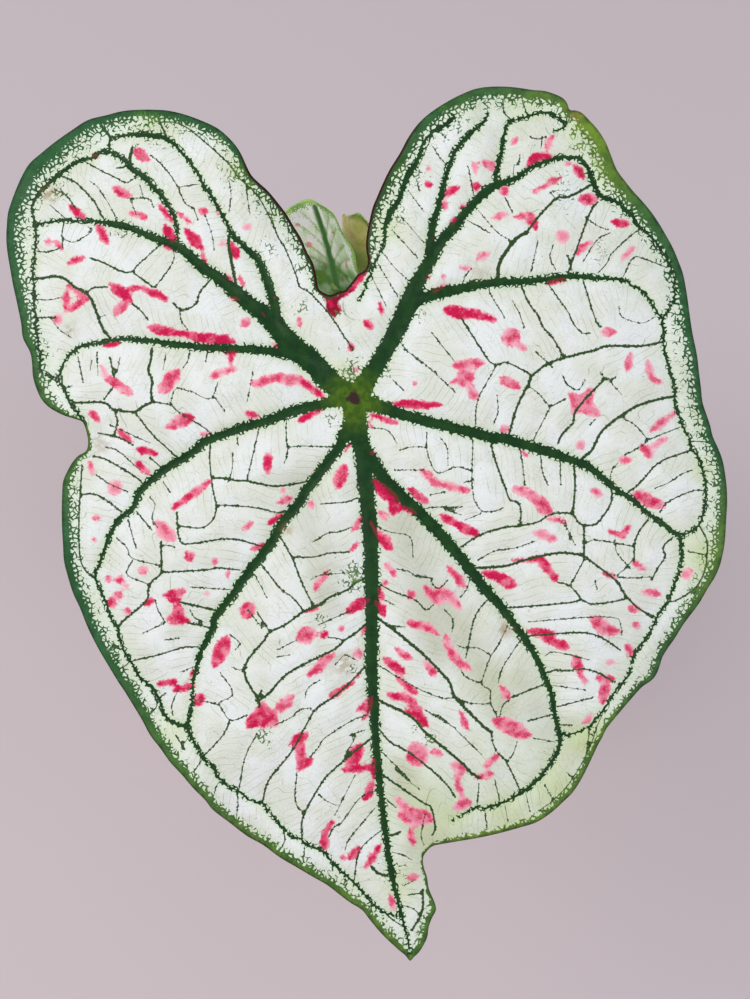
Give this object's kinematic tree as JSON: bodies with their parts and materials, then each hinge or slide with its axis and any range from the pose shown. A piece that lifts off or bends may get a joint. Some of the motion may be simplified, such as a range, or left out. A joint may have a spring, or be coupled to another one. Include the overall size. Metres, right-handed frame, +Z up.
{
  "type": "potted caladium",
  "caption": "Caladium with one large heart-shaped white and green leaf flecked with pink, and young leaves, growing in a plain clay pot of soil.",
  "frame": {"origin": "centre of the pot's flat underside", "axes": "+Z up, out of the pot's mouth; -Y towards the large leaf's tip"},
  "size_m": [0.2151, 0.3098, 0.3728],
  "materials": {
    "clay": "matte",
    "soil": "matte",
    "tuber": "matte",
    "blade": "satin",
    "petiole": "satin",
    "young_blade": "satin",
    "rolled_blade": "satin"
  },
  "bodies": {
    "root": {"pot": "clay", "soil": "soil", "tuber": "tuber", "leaf_1_blade": "blade", "leaf_1_petiole": "petiole", "leaf_2_blade": "young_blade", "leaf_2_petiole": "petiole", "leaf_3_blade": "rolled_blade", "leaf_3_petiole": "petiole"}
  },
  "joints": []
}
